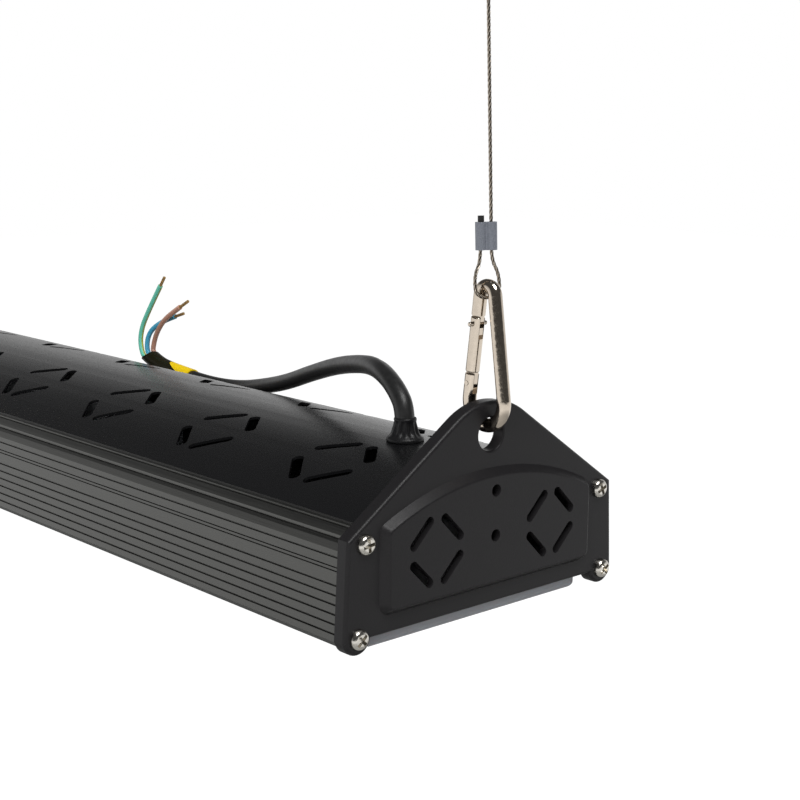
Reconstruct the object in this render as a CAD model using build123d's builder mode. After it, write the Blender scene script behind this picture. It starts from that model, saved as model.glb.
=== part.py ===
from build123d import *
from math import cos, pi, radians, sin, sqrt, tan
import os

# Linear high bay light hung by its two end plates.
# X runs along the light, the cable end at +X, Y runs across it and Z is up.
# The origin is the point midway between the two ceiling hooks.
# Heights in the comments are taken from the lower edge of the end plates.

# overall
light_length = 592.0
hook_drop = 284.0
edge_z = -hook_drop
seat_gap = 0.1
thread_gap = 0.05

# end plates
plate_thick = 6.0
plate_cover = 0.1
plate_lean = 3.0
slope_angle = 34.6
apex_height = 82.6
apex_radius = 33.2
shoulder_radius = 18.0
plate_round = 1.5
lobe_radius = 6.6
lobe_root = 3.0
hole_height = 69.4
hole_radius = 6.8
hole_round = 0.8

# raised panel on the outer face of each end plate
panel_inset = 6.9
panel_foot = 7.3
panel_height = 56.0
panel_arch_radius = 127.5
panel_rise = 3.4
panel_taper = 38.0
panel_corner = 5.0
panel_round = 1.2
panel_wall = 3.2

# tapped pair and vent slots in the panel
tap_radius = 2.5
tap_low = 29.0
tap_pitch = 18.3
tap_boss_radius = 6.0
plate_slot_length = 15.5
plate_slot_width = 3.9
plate_slot_pitch = 16.0
plate_group_y = 31.8
plate_group_z = 28.9

# end screws
screw_shank_radius = 1.95
screw_head_radius = 4.0
screw_head_height = 2.5
screw_head_round = 1.9
screw_length = 22.0
screw_top_inset = 7.2
screw_top_drop = 5.796
screw_foot_inset = 6.7
screw_foot_z = 1.1
recess_width = 1.4
recess_span = 5.4
recess_depth = 1.7
recess_turns = [8.0, 22.0, 42.0, 33.0]

# side rails
rail_foot_half = 75.2
rail_top_half = 72.4
rail_shoulder_z = 34.2
rail_wall = 2.3
rib_width = 0.8
rib_depth = 0.7
rib_heights = [2.9, 6.55, 10.2, 13.85, 17.5, 21.15, 31.7]
pair_heights = [26.5, 27.9]
pair_width = 0.5
port_wall = 1.5
rail_sill = 2.0
sill_inset = 16.2
sill_lip = 1.5

# roof cover
roof_radius = 148.0
roof_crown = 58.5
roof_sheet = 1.2
roof_inset = 5.6
roof_seat_gap = 0.1
roof_end_gap = 0.1
roof_slot_length = 20.4
roof_slot_width = 5.1
roof_slot_x = 10.1
roof_slot_s = 11.6
row_angle = 13.34
group_count = 7
group_margin = 49.9

# lens, boards and tray
lens_side_gap = 0.8
lens_drop = 7.2
lens_wall = 2.0
flange_inset = 0.4
lens_flange = 1.8
lens_corner = 3.0
gasket_thick = 1.1
gasket_end_rim = 7.0
gasket_side_rim = 5.0
tray_thick = 3.0
tray_inset = 11.2
inner_end_gap = 0.5
board_end_gap = 0.5
board_joint = 4.0
board_side_gap = 6.2
board_middle_gap = 8.0
board_thick = 1.6
chip_size = 3.0
chip_thick = 0.7
chip_count = 14
chip_margin = 16.5
wire_hole_radius = 5.0
wire_hole_back = 60.0

# driver
driver_length = 210.0
driver_width = 62.0
driver_height = 30.0
driver_x = -70.0
driver_wall = 1.5
driver_foot = 14.0
driver_foot_width = 43.4
driver_round = 3.0
driver_screw_pitch = 24.8
driver_screw_radius = 1.9
driver_screw_head = 3.4
driver_screw_head_height = 2.0
terminal_back = 95.0
terminal_length = 20.0
terminal_width = 32.0
terminal_height = 14.0

# strain relief and cable
relief_x = light_length / 2 - 50.2
relief_flange_radius = 8.0
relief_flange = 1.8
relief_neck_radius = 4.8
relief_height = 9.8
flare_height = 4.6
flare_bulge = 0.8
relief_thread_radius = 5.4
relief_depth = 7.0
relief_nut_radius = 8.2
relief_nut = 3.0
cable_dia = 8.4
cable_gap = 0.1
cable_seat_rise = 3.0
label_wall = 0.45
wrap_back = 16.0
core_dia = 3.0
copper_dia = 1.3
earth_bare = 7.0
neutral_bare = 9.0
live_bare = 10.2

# carabiners
wire_dia = 5.6
bow_radius = 9.4
bow_x = -3.0
bow_z = 81.9
crown_radius = 4.0
crown_x = -3.3
crown_z = 123.4
gate_dia = 5.6
fork_floor = 1.4
hinge_rise = 5.5
fork_rise = 9.0
gate_foot = 10.0
tongue_end = 25.3
gate_fork = 23.6
latch_rise = 29.4
gate_end = 32.1
nose_end = 32.9
tongue_thick = 2.0
tongue_gap = 0.25
tongue_width = 4.8
hinge_pin_radius = 1.0
latch_radius = 0.9
latch_gap = 0.25
latch_pin_length = 9.4
pin_gap = 0.05

# wire ropes
rope_dia = 1.5
rope_lean = 2.4
loop_half = 5.3
loop_turn = 20.0
loop_bottom = 122.9
ferrule_bottom = 141.2
ferrule_length = 10.8
ferrule_barrel = 2.3
ferrule_spacing = 3.9
ferrule_waist = 3.2
ferrule_turn = 42.0
rope_tail = 1.8
leg_straight = 3.8
leg_spread = 9.6
rope_shift = 0.5
sleeve_wall = 0.45
eye_height = 26.0


def up(height):
    return edge_z + height


end_x = light_length / 2
plate_back = end_x - plate_thick
plate_foot_half = rail_foot_half + plate_cover
screw_top_y = rail_top_half - screw_top_inset
screw_foot_y = rail_foot_half - screw_foot_inset
panel_half = screw_top_y - panel_inset
roof_half = rail_top_half - roof_inset
roof_mid = roof_radius - roof_sheet / 2
roof_axis_z = roof_crown - roof_radius
screw_top_z = roof_axis_z + sqrt(roof_mid**2 - screw_top_y**2) - screw_top_drop
sill_reach = rail_foot_half - sill_inset
tray_half = rail_foot_half - tray_inset
lens_half = sill_reach - lens_side_gap
lens_flange_half = tray_half - flange_inset
board_width = lens_half - lens_wall - board_side_gap - board_middle_gap / 2
board_y = (board_width + board_middle_gap) / 2

os.makedirs("parts", exist_ok=True)


# end plate
slope = tan(radians(slope_angle))
apex_peak = apex_height - apex_radius + apex_radius / cos(radians(slope_angle))
apex_tangent_y = apex_radius * sin(radians(slope_angle))
apex_tangent_z = apex_height - apex_radius + apex_radius * cos(radians(slope_angle))
side_foot_y = plate_foot_half
side_run = tan(radians(plate_lean))
corner_z = (apex_peak - slope * side_foot_y) / (1 - slope * side_run)
corner_y = side_foot_y - side_run * corner_z

with BuildPart() as front_end_plate:
    with BuildSketch(Plane.YZ.offset(plate_back)) as plate_outline:
        with BuildLine():
            side_a = Line((-side_foot_y, edge_z), (-corner_y, edge_z + corner_z))
            slope_a = Line(side_a @ 1, (-apex_tangent_y, edge_z + apex_tangent_z))
            crown = ThreePointArc(
                slope_a @ 1, (0, edge_z + apex_height), (apex_tangent_y, edge_z + apex_tangent_z)
            )
            slope_b = Line(crown @ 1, (corner_y, edge_z + corner_z))
            side_b = Line(slope_b @ 1, (side_foot_y, edge_z))
            Line(side_b @ 1, side_a @ 0)
        make_face()
        shoulders = plate_outline.vertices().sort_by(Axis.Y)
        fillet([v for v in shoulders if abs(v.Z - edge_z - corner_z) < 0.01], radius=shoulder_radius)
        with Locations((-screw_foot_y, edge_z + screw_foot_z), (screw_foot_y, edge_z + screw_foot_z)):
            Circle(lobe_radius)
        roots = [v for v in plate_outline.vertices() if abs(v.Z - edge_z) < 0.01 and abs(v.Y) < screw_foot_y]
        fillet(roots, radius=lobe_root)
    extrude(amount=plate_thick)
    rim = front_end_plate.faces().sort_by(Axis.X)[-1].edges()
    fillet(rim, radius=plate_round)

    # raised panel with sloping walls
    with BuildSketch(Plane.YZ.offset(end_x - 0.01)) as panel_outline:
        arch_side = panel_height - panel_arch_radius + sqrt(panel_arch_radius**2 - panel_half**2)
        with BuildLine():
            panel_left = Line((-panel_half, edge_z + panel_foot), (-panel_half, edge_z + arch_side))
            panel_arch = ThreePointArc(
                panel_left @ 1, (0, edge_z + panel_height), (panel_half, edge_z + arch_side)
            )
            panel_right = Line(panel_arch @ 1, (panel_half, edge_z + panel_foot))
            Line(panel_right @ 1, panel_left @ 0)
        make_face()
        fillet(panel_outline.vertices(), radius=panel_corner)
    extrude(amount=panel_rise + 0.01, taper=panel_taper)
    panel_top = front_end_plate.faces().sort_by(Axis.X)[-1]
    fillet(panel_top.edges(), radius=panel_round)

    # hollow behind the panel
    with BuildSketch(Plane.YZ.offset(plate_back)) as hollow_outline:
        hollow_half = panel_half - panel_wall
        hollow_radius = panel_arch_radius - panel_wall
        hollow_side = panel_height - panel_arch_radius + sqrt(hollow_radius**2 - hollow_half**2)
        with BuildLine():
            hollow_left = Line((-hollow_half, up(panel_foot + panel_wall)), (-hollow_half, up(hollow_side)))
            hollow_arch = ThreePointArc(
                hollow_left @ 1, (0, up(panel_height - panel_wall)), (hollow_half, up(hollow_side))
            )
            hollow_right = Line(hollow_arch @ 1, (hollow_half, up(panel_foot + panel_wall)))
            Line(hollow_right @ 1, hollow_left @ 0)
        make_face()
        fillet(hollow_outline.vertices(), radius=panel_corner)
    extrude(amount=plate_thick + panel_rise - panel_wall, mode=Mode.SUBTRACT)

    # bosses behind the tapped pair
    with BuildSketch(Plane.YZ.offset(plate_back)):
        with Locations((0, up(tap_low)), (0, up(tap_low + tap_pitch))):
            Circle(tap_boss_radius)
    extrude(amount=plate_thick + panel_rise - panel_wall)

    # hanging hole, tapped pair, screw holes
    with BuildSketch(Plane.YZ.offset(plate_back)):
        with Locations((0, up(hole_height))):
            Circle(hole_radius)
    extrude(amount=plate_thick, mode=Mode.SUBTRACT)
    rims = front_end_plate.edges().filter_by(GeomType.CIRCLE)
    rims = [e for e in rims if abs(e.radius - hole_radius) < 0.001]
    rims = [e for e in rims if abs(e.arc_center.Z - up(hole_height)) < 0.01]
    fillet(rims, radius=hole_round)
    with BuildSketch(Plane.YZ.offset(plate_back)):
        with Locations((0, up(tap_low)), (0, up(tap_low + tap_pitch))):
            Circle(tap_radius)
    extrude(amount=plate_thick + panel_rise, mode=Mode.SUBTRACT)
    with BuildSketch(Plane.YZ.offset(plate_back)):
        with Locations(
            (-screw_top_y, up(screw_top_z)),
            (screw_top_y, up(screw_top_z)),
            (-screw_foot_y, up(screw_foot_z)),
            (screw_foot_y, up(screw_foot_z)),
        ):
            Circle(screw_shank_radius + seat_gap)
    extrude(amount=plate_thick, mode=Mode.SUBTRACT)

    # two diamond groups of vent slots
    with BuildSketch(Plane.YZ.offset(plate_back)):
        half_pitch = plate_slot_pitch / 2
        with Locations((-plate_group_y, up(plate_group_z)), (plate_group_y, up(plate_group_z))):
            with Locations((-half_pitch, half_pitch), (half_pitch, -half_pitch)):
                SlotOverall(plate_slot_length, plate_slot_width, rotation=45)
            with Locations((half_pitch, half_pitch), (-half_pitch, -half_pitch)):
                SlotOverall(plate_slot_length, plate_slot_width, rotation=-45)
    extrude(amount=plate_thick + panel_rise, mode=Mode.SUBTRACT)
front_end_plate.part.label = "front_end_plate"

with BuildPart() as rear_end_plate:
    mirror(front_end_plate.part, about=Plane.YZ)
rear_end_plate.part.label = "rear_end_plate"


# end screws
screw_spots = [
    (-screw_top_y, up(screw_top_z)),
    (screw_top_y, up(screw_top_z)),
    (-screw_foot_y, up(screw_foot_z)),
    (screw_foot_y, up(screw_foot_z)),
]
head_dome = (screw_head_radius**2 + screw_head_height**2) / (2 * screw_head_height)
with BuildPart() as front_end_screws:
    with BuildSketch(Plane.YZ.offset(end_x)):
        with Locations(*screw_spots):
            Circle(screw_head_radius)
    extrude(amount=screw_head_height)
    crowns = front_end_screws.faces().filter_by(Plane.YZ).sort_by(Axis.X)[-4:]
    fillet([f.edges()[0] for f in crowns], radius=screw_head_round)
    with BuildSketch(Plane.YZ.offset(end_x)):
        with Locations(*screw_spots):
            Circle(screw_shank_radius)
    extrude(amount=-screw_length)
    with BuildSketch(Plane.YZ.offset(end_x + screw_head_height)):
        for spot, turn in zip(screw_spots, recess_turns):
            with Locations(spot):
                Rectangle(recess_span, recess_width, rotation=turn)
                Rectangle(recess_width, recess_span, rotation=turn)
    extrude(amount=-recess_depth, mode=Mode.SUBTRACT)
front_end_screws.part.label = "front_end_screws"

with BuildPart() as rear_end_screws:
    mirror(front_end_screws.part, about=Plane.YZ)
rear_end_screws.part.label = "rear_end_screws"


# side rails
rail_length = light_length - 2 * plate_thick


def rail_face(height):
    return rail_foot_half - (rail_foot_half - rail_top_half) * height / rail_shoulder_z


port_radius = screw_shank_radius + thread_gap
tray_top = lens_flange + gasket_thick + tray_thick + 3 * seat_gap
roof_edge_z = roof_axis_z + sqrt(roof_mid**2 - roof_half**2)

with BuildPart() as right_side_rail:
    ledge = tray_top + rail_sill
    with BuildSketch(Plane.YZ.offset(-rail_length / 2)) as rail_section:
        with BuildLine():
            Polyline(
                (sill_reach, up(-rail_sill)),
                (rail_foot_half - 1.2, up(-rail_sill)),
                (rail_foot_half, up(0)),
                (rail_top_half, up(rail_shoulder_z)),
                (rail_top_half - 1.1, up(rail_shoulder_z + 2.6)),
                (rail_top_half - 1.8, up(rail_shoulder_z + 3.7)),
                (rail_top_half - 2.7, up(rail_shoulder_z + 3.9)),
                (rail_top_half - 2.8, up(rail_shoulder_z + 5.1)),
                (rail_top_half - 3.4, up(rail_shoulder_z + 6.2)),
                (roof_half + 1.2, up(roof_edge_z + 0.2)),
                (roof_half + 0.5, up(roof_edge_z + 0.4)),
                (roof_half + 0.6, up(roof_edge_z + 1.2)),
                (roof_half + 0.1, up(roof_edge_z + 1.9)),
                (roof_half - 1.2, up(roof_edge_z + 2.1)),
                (roof_half - 1.6, up(roof_edge_z + 1.5)),
                (roof_half - 2.6, up(roof_edge_z + 0.2)),
                (roof_half - 2.6, up(roof_edge_z - 2.4)),
                (screw_top_y, up(screw_top_z)),
                (rail_face(33) - rail_wall - 0.3, up(33)),
                (rail_face(30) - rail_wall, up(30)),
                (rail_face(ledge) - rail_wall, up(ledge)),
                (sill_reach + sill_lip, up(ledge)),
                (sill_reach + sill_lip, up(tray_top)),
                (tray_half + seat_gap, up(tray_top)),
                (tray_half + seat_gap, up(0)),
                (sill_reach, up(0)),
                close=True,
            )
        make_face()
        # screw ports
        with Locations((screw_top_y, up(screw_top_z))):
            Circle(port_radius + port_wall)
        with Locations((screw_foot_y, up(screw_foot_z))):
            Circle(port_radius + port_wall)
        with Locations((screw_top_y, up(screw_top_z)), (screw_foot_y, up(screw_foot_z))):
            Circle(port_radius, mode=Mode.SUBTRACT)
        # slot that grips the edge of the roof cover
        with BuildLine():
            slot_out = roof_radius + roof_seat_gap
            slot_in = roof_radius - roof_sheet - roof_seat_gap
            slot_near = roof_half - 8
            slot_far = roof_half + roof_seat_gap
            slot_base = up(roof_axis_z)
            slot_top = RadiusArc(
                (slot_near, slot_base + sqrt(slot_out**2 - slot_near**2)),
                (slot_far, slot_base + sqrt(slot_out**2 - slot_far**2)),
                slot_out,
            )
            slot_end = Line(slot_top @ 1, (slot_far, slot_base + sqrt(slot_in**2 - slot_far**2)))
            slot_low = RadiusArc(
                slot_end @ 1,
                (slot_near, slot_base + sqrt(slot_in**2 - slot_near**2)),
                -slot_in,
            )
            Line(slot_low @ 1, slot_top @ 0)
        make_face(mode=Mode.SUBTRACT)
        # fine grooves of the outer face
        with Locations(*[(rail_face(h), up(h)) for h in rib_heights]):
            Rectangle(2 * rib_depth, rib_width, mode=Mode.SUBTRACT)
        with Locations(*[(rail_face(h), up(h)) for h in pair_heights]):
            Rectangle(2 * rib_depth, pair_width, mode=Mode.SUBTRACT)
    extrude(amount=rail_length)
right_side_rail.part.label = "right_side_rail"

with BuildPart() as left_side_rail:
    mirror(right_side_rail.part, about=Plane.XZ)
left_side_rail.part.label = "left_side_rail"


# roof cover
roof_length = rail_length - 2 * roof_end_gap
group_pitch = (roof_length - 2 * group_margin) / (group_count - 1)
row_z = up(roof_axis_z)
with BuildPart() as roof_cover:
    with BuildSketch(Plane.YZ.offset(-roof_length / 2)):
        with BuildLine():
            inner_radius = roof_radius - roof_sheet
            outer_end = sqrt(roof_radius**2 - roof_half**2)
            inner_end = sqrt(inner_radius**2 - roof_half**2)
            outer_arc = ThreePointArc(
                (-roof_half, row_z + outer_end), (0, row_z + roof_radius), (roof_half, row_z + outer_end)
            )
            edge_line = Line(outer_arc @ 1, (roof_half, row_z + inner_end))
            inner_arc = ThreePointArc(
                edge_line @ 1, (0, row_z + inner_radius), (-roof_half, row_z + inner_end)
            )
            Line(inner_arc @ 1, outer_arc @ 0)
        make_face()
    extrude(amount=roof_length)
    for side in (-1, 1):
        tilt = radians(side * row_angle)
        group_plane = Plane(
            origin=(0, roof_radius * sin(tilt), row_z + roof_radius * cos(tilt)),
            x_dir=(1, 0, 0),
            z_dir=(0, sin(tilt), cos(tilt)),
        )
        with BuildSketch(group_plane.offset(2.0)):
            with GridLocations(group_pitch, 1, group_count, 1):
                with Locations((-roof_slot_x, roof_slot_s), (roof_slot_x, -roof_slot_s)):
                    SlotOverall(roof_slot_length, roof_slot_width, rotation=45)
                with Locations((roof_slot_x, roof_slot_s), (-roof_slot_x, -roof_slot_s)):
                    SlotOverall(roof_slot_length, roof_slot_width, rotation=-45)
        extrude(amount=-7.0, mode=Mode.SUBTRACT)
    with BuildSketch(Plane.XY.offset(up(roof_crown - 4))):
        with Locations((relief_x, 0)):
            Circle(relief_thread_radius + seat_gap)
    extrude(amount=8, mode=Mode.SUBTRACT)
roof_cover.part.label = "roof_cover"


# lens, gasket, tray
inner_length = rail_length - 2 * inner_end_gap
with BuildPart() as lens_cover:
    with BuildSketch(Plane.XY.offset(up(-lens_drop))):
        Rectangle(inner_length, 2 * lens_half)
    extrude(amount=lens_drop + lens_flange)
    fillet(lens_cover.faces().sort_by(Axis.Z)[0].edges(), radius=lens_corner)
    with BuildSketch(Plane.XY.offset(up(seat_gap))):
        Rectangle(inner_length, 2 * lens_flange_half)
    extrude(amount=lens_flange - seat_gap)
    with BuildSketch(Plane.XY.offset(up(-lens_drop + lens_wall))):
        Rectangle(inner_length - 2 * lens_wall, 2 * (lens_half - lens_wall))
    extrude(amount=lens_drop + lens_flange - lens_wall, mode=Mode.SUBTRACT)
lens_cover.part.label = "lens_cover"

gasket_z = lens_flange + seat_gap
with BuildPart() as lens_gasket:
    with BuildSketch(Plane.XY.offset(up(gasket_z))):
        Rectangle(inner_length, 2 * lens_flange_half)
        Rectangle(
            inner_length - 2 * gasket_end_rim,
            2 * (lens_flange_half - gasket_side_rim),
            mode=Mode.SUBTRACT,
        )
    extrude(amount=gasket_thick)
lens_gasket.part.label = "lens_gasket"

tray_z = gasket_z + gasket_thick + seat_gap
with BuildPart() as led_tray:
    with BuildSketch(Plane.XY.offset(up(tray_z))):
        Rectangle(inner_length, 2 * tray_half)
    extrude(amount=tray_thick)
    with BuildSketch(Plane.XY.offset(up(tray_z))):
        with Locations((relief_x - wire_hole_back, 0)):
            Circle(wire_hole_radius)
    extrude(amount=tray_thick, mode=Mode.SUBTRACT)
led_tray.part.label = "led_tray"

# two light boards end to end on each side of the middle
board_length = inner_length / 2 - gasket_end_rim - board_end_gap - board_joint / 2
board_x = board_length / 2 + board_joint / 2
chip_pitch = (board_length - 2 * chip_margin) / (chip_count - 1)
board_z = tray_z - board_thick
with BuildPart() as led_boards:
    with BuildSketch(Plane.XY.offset(up(board_z))):
        with Locations((-board_x, -board_y), (board_x, -board_y), (-board_x, board_y), (board_x, board_y)):
            Rectangle(board_length, board_width)
    extrude(amount=board_thick)
led_boards.part.label = "led_boards"

with BuildPart() as led_chips:
    with BuildSketch(Plane.XY.offset(up(board_z - chip_thick))):
        with Locations((-board_x, -board_y), (board_x, -board_y), (-board_x, board_y), (board_x, board_y)):
            with GridLocations(chip_pitch, board_width / 2, chip_count, 2):
                Rectangle(chip_size, chip_size)
    extrude(amount=chip_thick)
led_chips.part.label = "led_chips"


# driver on the tray
driver_base = tray_z + tray_thick
with BuildPart() as driver_case:
    with BuildSketch(Plane.XY.offset(up(driver_base))):
        with Locations((driver_x, 0)):
            Rectangle(driver_length, driver_width)
    extrude(amount=driver_height)
    fillet(driver_case.edges().filter_by(Axis.X).sort_by(Axis.Z)[-2:], radius=driver_round)
    with BuildSketch(Plane.XY.offset(up(driver_base))):
        with Locations((driver_x, 0)):
            Rectangle(driver_length + 2 * driver_foot, driver_foot_width)
    extrude(amount=driver_wall)
    with BuildSketch(Plane.XY.offset(up(driver_base))):
        with Locations((driver_x, 0)):
            with GridLocations(driver_length + driver_foot, driver_screw_pitch, 2, 2):
                Circle(driver_screw_radius + seat_gap)
    extrude(amount=driver_wall, mode=Mode.SUBTRACT)
driver_case.part.label = "driver_case"

with BuildPart() as driver_screws:
    with BuildSketch(Plane.XY.offset(up(driver_base + driver_wall))):
        with Locations((driver_x, 0)):
            with GridLocations(driver_length + driver_foot, driver_screw_pitch, 2, 2):
                Circle(driver_screw_head)
    extrude(amount=driver_screw_head_height)
    with BuildSketch(Plane.XY.offset(up(driver_base))):
        with Locations((driver_x, 0)):
            with GridLocations(driver_length + driver_foot, driver_screw_pitch, 2, 2):
                Circle(driver_screw_radius)
    extrude(amount=driver_wall)
driver_screws.part.label = "driver_screws"

with BuildPart() as terminal_block:
    with BuildSketch(Plane.XY.offset(up(driver_base))):
        with Locations((relief_x - terminal_back, 0)):
            Rectangle(terminal_length, terminal_width)
    extrude(amount=terminal_height)
    fillet(terminal_block.edges().filter_by(Axis.Y).sort_by(Axis.Z)[-2:], radius=driver_round)
terminal_block.part.label = "terminal_block"


# strain relief
bore = cable_dia / 2 + cable_gap
cable_seat = roof_crown + cable_seat_rise
with BuildPart() as strain_relief:
    with BuildSketch(Plane.XZ):
        with BuildLine():
            foot = Polyline(
                (relief_x, up(roof_crown - relief_depth)),
                (relief_x + relief_thread_radius, up(roof_crown - relief_depth)),
                (relief_x + relief_thread_radius, up(roof_crown + seat_gap / 2)),
                (relief_x + relief_flange_radius, up(roof_crown + seat_gap / 2)),
                (relief_x + relief_flange_radius, up(roof_crown + relief_flange)),
            )
            flare = ThreePointArc(
                foot @ 1,
                (relief_x + relief_neck_radius + flare_bulge, up(roof_crown + flare_height)),
                (relief_x + relief_neck_radius, up(roof_crown + relief_height)),
            )
            Polyline(flare @ 1, (relief_x, up(roof_crown + relief_height)), foot @ 0)
        make_face()
    revolve(axis=Axis((relief_x, 0, 0), (0, 0, 1)))
    with BuildSketch(Plane.XY.offset(up(cable_seat))):
        with Locations((relief_x, 0)):
            Circle(bore)
    extrude(amount=relief_height, mode=Mode.SUBTRACT)
strain_relief.part.label = "strain_relief"

nut_drop = relief_nut_radius**2 / (2 * (roof_radius - roof_sheet)) + seat_gap / 2
with BuildPart() as relief_nut_ring:
    with BuildSketch(Plane.XY.offset(up(roof_crown - roof_sheet - nut_drop - relief_nut))):
        with Locations((relief_x, 0)):
            RegularPolygon(relief_nut_radius, 6)
            Circle(relief_thread_radius + thread_gap, mode=Mode.SUBTRACT)
    extrude(amount=relief_nut)
relief_nut_ring.part.label = "relief_nut"


# mains cable
def turn_at(a, b, c):
    return (Vector(*b) - Vector(*a)).get_angle(Vector(*c) - Vector(*b))


def arc_radii(points):
    radii = []
    for index in range(1, len(points) - 1):
        a, b, c = points[index - 1 : index + 2]
        shorter = min((Vector(*b) - Vector(*a)).length, (Vector(*c) - Vector(*b)).length)
        radii.append(0.45 * shorter / tan(radians(turn_at(a, b, c) / 2)))
    return radii


def report(name, radii, diameter, sketch_line, solid):
    line = sketch_line.wires()[0]
    ideal = pi * diameter**2 / 4 * line.length
    print(name, "length", round(line.length, 1), "radii", [round(r, 1) for r in radii])
    print("   volume over section times length:", round(solid.volume / ideal, 4))


def at_front(points):
    return [(end_x + x, y, up(z)) for x, y, z in points]


cable_points = at_front(
    [
        (-50.2, 0.0, cable_seat),
        (-50.2, 0.0, 71.6),
        (-57.6, 2.0, 78.6),
        (-69.5, 6.0, 83.2),
        (-85.0, 13.0, 84.0),
        (-103.0, 21.5, 81.8),
        (-136.0, 36.0, 75.4),
        (-172.0, 49.5, 65.6),
        (-208.0, 61.0, 54.4),
        (-240.0, 70.6, 46.6),
        (-270.0, 76.0, 40.6),
        (-302.0, 77.9, 38.4),
        (-335.8, 79.0, 40.2),
        (-350.7, 79.3, 41.5),
        (-359.5, 79.5, 43.4),
        (-365.5, 79.6, 45.8),
    ]
)
cable_radii = arc_radii(cable_points)
with BuildPart() as mains_cable:
    with BuildLine() as cable_line:
        FilletPolyline(*cable_points, radius=cable_radii)
    with BuildSketch(Plane(origin=cable_points[0], z_dir=(0, 0, 1))):
        Circle(cable_dia / 2)
    sweep()
mains_cable.part.label = "mains_cable"
report("mains_cable", cable_radii, cable_dia, cable_line, mains_cable.part)

# plain wrap round the end of the cable, on the same route
wrap_from = Vector(*cable_points[11])
wrap_along = (Vector(*cable_points[12]) - wrap_from).normalized()
wrap_start = tuple(wrap_from + wrap_along * wrap_back)
wrap_points = [wrap_start] + cable_points[12:]
wrap_inner = cable_dia / 2 + cable_gap / 2
with BuildPart() as cable_label:
    with BuildLine():
        FilletPolyline(*wrap_points, radius=cable_radii[11:])
    with BuildSketch(Plane(origin=wrap_start, z_dir=tuple(wrap_along))):
        Circle(wrap_inner + label_wall)
        Circle(wrap_inner, mode=Mode.SUBTRACT)
    sweep()
cable_label.part.label = "cable_label"

# three cores, side by side in the end of the cable
cable_end = Vector(*cable_points[-1])
end_dir = (cable_end - Vector(*cable_points[-2])).normalized()
slope_dir = Vector(0, 1, 0).cross(end_dir)
side_dir = end_dir.cross(slope_dir)
row_dir = (slope_dir * 0.53 + side_dir * 0.85).normalized()
core_pitch = core_dia + 0.05


def core_route(offset, lead, points):
    start = cable_end + row_dir * offset
    return [tuple(start), tuple(start + end_dir * lead)] + at_front(points)


earth_points = core_route(
    -core_pitch,
    4.8,
    [
        (-373.9, 77.6, 51.4),
        (-374.4, 77.8, 57.5),
        (-371.9, 77.9, 64.5),
        (-366.6, 78.1, 72.2),
        (-360.2, 78.5, 80.9),
        (-352.9, 78.8, 90.2),
    ],
)
neutral_points = core_route(
    0.0,
    3.8,
    [
        (-370.6, 79.7, 51.4),
        (-370.0, 80.1, 57.0),
        (-366.6, 80.8, 62.3),
        (-358.0, 81.3, 67.2),
        (-348.6, 81.8, 70.9),
        (-342.8, 82.0, 72.7),
    ],
)
live_points = core_route(
    core_pitch,
    3.4,
    [
        (-367.2, 82.3, 52.6),
        (-364.6, 81.9, 57.6),
        (-359.2, 80.4, 62.6),
        (-350.8, 78.5, 68.9),
        (-341.2, 77.0, 74.2),
        (-329.0, 76.3, 80.1),
    ],
)
earth_radii = arc_radii(earth_points)
neutral_radii = arc_radii(neutral_points)
live_radii = arc_radii(live_points)

with BuildPart() as earth_core:
    with BuildLine() as earth_line:
        FilletPolyline(*earth_points, radius=earth_radii)
    with BuildSketch(Plane(origin=earth_points[0], z_dir=tuple(end_dir))):
        Circle(core_dia / 2)
    sweep()
earth_core.part.label = "earth_core"
report("earth_core", earth_radii, core_dia, earth_line, earth_core.part)

with BuildPart() as neutral_core:
    with BuildLine() as neutral_line:
        FilletPolyline(*neutral_points, radius=neutral_radii)
    with BuildSketch(Plane(origin=neutral_points[0], z_dir=tuple(end_dir))):
        Circle(core_dia / 2)
    sweep()
neutral_core.part.label = "neutral_core"
report("neutral_core", neutral_radii, core_dia, neutral_line, neutral_core.part)

with BuildPart() as live_core:
    with BuildLine() as live_line:
        FilletPolyline(*live_points, radius=live_radii)
    with BuildSketch(Plane(origin=live_points[0], z_dir=tuple(end_dir))):
        Circle(core_dia / 2)
    sweep()
live_core.part.label = "live_core"
report("live_core", live_radii, core_dia, live_line, live_core.part)


def tip_plane(points):
    tip = Vector(*points[-1])
    return Plane(origin=tip, z_dir=(tip - Vector(*points[-2])).normalized())


# bare copper ends
with BuildPart() as copper_ends:
    with BuildSketch(tip_plane(earth_points)):
        Circle(copper_dia / 2)
    extrude(amount=earth_bare)
    with BuildSketch(tip_plane(neutral_points)):
        Circle(copper_dia / 2)
    extrude(amount=neutral_bare)
    with BuildSketch(tip_plane(live_points)):
        Circle(copper_dia / 2)
    extrude(amount=live_bare)
copper_ends.part.label = "copper_ends"


# carabiner body
bow_centre = Vector(end_x + bow_x, 0, up(bow_z))
crown_centre = Vector(end_x + crown_x, 0, up(crown_z))
rise = crown_centre - bow_centre
rise_dir = rise.normalized()
out_dir = Vector(rise_dir.Z, 0, -rise_dir.X)
lean_sin = (bow_radius - crown_radius) / rise.length
lean_cos = sqrt(1 - lean_sin**2)
spine_normal = rise_dir * lean_sin + out_dir * lean_cos
gate_normal = rise_dir * lean_sin - out_dir * lean_cos
spine_low = bow_centre + spine_normal * bow_radius
spine_high = crown_centre + spine_normal * crown_radius
leg_low = bow_centre + gate_normal * bow_radius
leg_high = crown_centre + gate_normal * crown_radius
leg_dir = (leg_high - leg_low).normalized()
fork_width = tongue_thick + 2 * tongue_gap
hinge_point = leg_low + leg_dir * hinge_rise
latch_point = leg_low + leg_dir * latch_rise
leg_inward = leg_dir.cross(Vector(0, -1, 0))


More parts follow.
